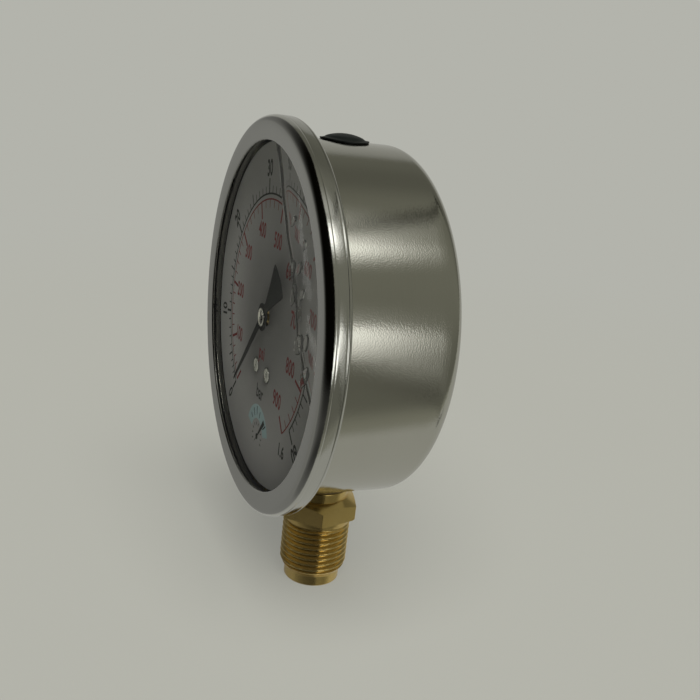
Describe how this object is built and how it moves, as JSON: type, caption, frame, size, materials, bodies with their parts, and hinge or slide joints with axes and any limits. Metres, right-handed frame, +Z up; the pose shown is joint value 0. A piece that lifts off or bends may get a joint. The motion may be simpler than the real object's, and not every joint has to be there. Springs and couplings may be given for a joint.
{
  "type": "pressure gauge",
  "caption": "Liquid-filled dial pressure gauge with crimped bezel, steel case, Bourdon tube movement, turning pointer and a lower threaded brass stem.",
  "frame": {"origin": "centre of the flat case back, on the pointer axis", "axes": "+Y out of the case back (the dial faces -Y), +Z up, away from the threaded stem"},
  "size_m": [0.1112, 0.0395, 0.1402],
  "materials": {
    "case_steel": "satin, fine lines round the cup",
    "bezel_steel": "polished stainless steel, fine spun lines on the band",
    "window_glass": "clear, with the filling liquid behind it",
    "rubber": "matt",
    "plug_rubber": "moulded, satin",
    "stem_brass": "machined, fine turning lines",
    "movement_brass": "stamped",
    "tube_bronze": "drawn copper alloy",
    "seal_fibre": "matt brown seal",
    "dial_white": "matt white with black and red print",
    "pointer_black": "satin black",
    "bush_nickel": "turned",
    "screw_steel": "bright steel"
  },
  "bodies": {
    "gauge": {"case": "case_steel", "bezel_ring": "bezel_steel", "window": "window_glass", "window_gasket": "rubber", "stem": "stem_brass", "stem_gasket": "seal_fibre", "restrictor_screw": "stem_brass", "tube_holder": "movement_brass", "bourdon_tube": "tube_bronze", "movement_back_plate": "movement_brass", "movement_front_plate": "movement_brass", "pillar_1": "movement_brass", "pillar_2": "movement_brass", "pillar_3": "movement_brass", "pillar_4": "movement_brass", "plate_screw_1": "screw_steel", "plate_screw_2": "screw_steel", "plate_screw_3": "screw_steel", "plate_screw_4": "screw_steel", "movement_screw_1": "screw_steel", "movement_screw_2": "screw_steel", "dial": "dial_white", "dial_spacer_1": "movement_brass", "dial_spacer_2": "movement_brass", "dial_screw_1": "screw_steel", "dial_screw_2": "screw_steel", "hairspring": "tube_bronze", "hairspring_stud": "movement_brass"},
    "pointer_set": {"pinion_arbor": "screw_steel", "pointer": "pointer_black", "pointer_bush": "bush_nickel", "hairspring_collet": "movement_brass"},
    "sector": {"sector_gear": "movement_brass", "sector_arbor": "screw_steel", "tail_screw": "screw_steel"},
    "tube_end": {"tube_tip": "movement_brass", "tip_screw": "screw_steel"},
    "link": {"link": "movement_brass"},
    "plug": {"fill_plug": "plug_rubber"}
  },
  "joints": [
    {"name": "pointer_turn", "type": "hinge", "parent": "gauge", "child": "pointer_set", "pos_m": [0, -0.03, 0], "axis": [0, 1, 0], "range_deg": [0, 270], "deforming": ["hairspring"]},
    {"name": "sector_turn", "type": "hinge", "parent": "gauge", "child": "sector", "pos_m": [0.00841, -0.0228, -0.02354], "axis": [0, 1, 0], "range_deg": [-30, 0]},
    {"name": "tube_flex", "type": "hinge", "parent": "gauge", "child": "tube_end", "pos_m": [-0.00829, -0.0133, 0.00389], "axis": [0, 1, 0], "range_deg": [-4.83, 0], "deforming": ["bourdon_tube"]},
    {"name": "link_swing", "type": "hinge", "parent": "tube_end", "child": "link", "pos_m": [0.01958, -0.0216, -0.01728], "axis": [0, 1, 0], "range_deg": [0, 4.83]},
    {"name": "plug_pull", "type": "slide", "parent": "gauge", "child": "plug", "axis": [0, 0, 1], "range_m": [0, 0.009]}
  ],
  "couplings": [
    {"joint": "sector_turn", "follows": "pointer_turn", "ratio": -0.11111},
    {"joint": "tube_flex", "follows": "pointer_turn", "ratio": -0.017895},
    {"joint": "link_swing", "follows": "pointer_turn", "ratio": 0.017895}
  ]
}
